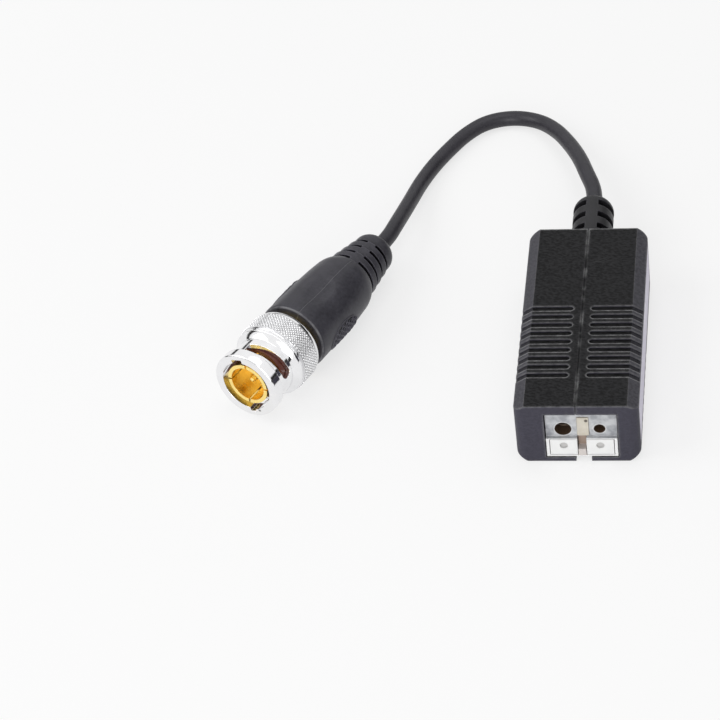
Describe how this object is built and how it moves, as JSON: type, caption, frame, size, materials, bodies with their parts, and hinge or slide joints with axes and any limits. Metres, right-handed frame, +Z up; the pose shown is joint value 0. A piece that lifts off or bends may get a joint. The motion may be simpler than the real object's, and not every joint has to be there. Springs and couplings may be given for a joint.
{
  "type": "video balun",
  "caption": "Passive video balun with a push-button wire terminal in a two-part moulded case, a slotted strain relief and a short coaxial lead to a bayonet video plug.",
  "frame": {"origin": "bottom centre of the case, on the surface it rests on", "axes": "+Y from the wire terminal's end to the lead's end, +X to the label's side, +Z up"},
  "size_m": [0.0758, 0.0983, 0.0145],
  "materials": {
    "case_black": "satin",
    "label_silver": "satin",
    "terminal_grey": "satin",
    "button_white": "gloss",
    "divider_cream": "satin",
    "board_green": "satin",
    "ferrite": "matte",
    "copper_wire": "gloss",
    "capacitor_tan": "satin",
    "diode_black": "satin",
    "tinned_contact": "satin",
    "spring_steel": "satin",
    "rubber_black": "matte",
    "sleeve_charcoal": "satin",
    "nickel": "gloss",
    "gold": "gloss",
    "insulator_white": "satin",
    "gasket_brown": "matte",
    "lead_red": "satin"
  },
  "bodies": {
    "case": {"housing_left": "case_black", "housing_right": "case_black", "label_plate": "label_silver", "cable_grommet": "rubber_black", "circuit_board": "board_green", "transformer_core": "ferrite", "primary_winding": "copper_wire", "secondary_winding": "copper_wire", "filter_capacitor": "capacitor_tan", "surge_diodes": "diode_black", "terminal_block": "terminal_grey", "terminal_divider": "divider_cream", "contact_left": "tinned_contact", "contact_right": "tinned_contact", "clamp_spring_left": "spring_steel", "clamp_spring_right": "spring_steel", "signal_lead": "lead_red", "shield_lead": "rubber_black", "plug_body": "gold", "sealing_gasket": "gasket_brown", "wave_washer": "spring_steel", "body_collar": "gold", "insulator": "insulator_white", "center_pin": "gold", "crimp_ferrule": "nickel", "coax_core": "insulator_white", "plug_overmold": "sleeve_charcoal", "cable": "sleeve_charcoal"},
    "left_button": {"button_left": "button_white"},
    "right_button": {"button_right": "button_white"},
    "nut_washer": {"thrust_washer": "nickel"},
    "nut": {"coupling_nut": "nickel"}
  },
  "joints": [
    {"name": "left_button_push", "type": "slide", "parent": "case", "child": "left_button", "axis": [0, 1, 0], "range_m": [0, 0.0012], "stiffness_N_per_m": 800, "springref_m": -0.0005, "deforming": ["clamp_spring_left"]},
    {"name": "right_button_push", "type": "slide", "parent": "case", "child": "right_button", "axis": [0, 1, 0], "range_m": [0, 0.0012], "stiffness_N_per_m": 800, "springref_m": -0.0005, "deforming": ["clamp_spring_right"]},
    {"name": "nut_float", "type": "slide", "parent": "case", "child": "nut_washer", "axis": [-0.4261, -0.9034, 0.049], "range_m": [0, 0.0005], "stiffness_N_per_m": 6000, "springref_m": -0.0003, "deforming": ["wave_washer"]},
    {"name": "nut_turn", "type": "hinge", "parent": "nut_washer", "child": "nut", "pos_m": [-0.05409, -0.00186, 0.0072], "axis": [0.4261, 0.9034, -0.049], "continuous": true}
  ]
}
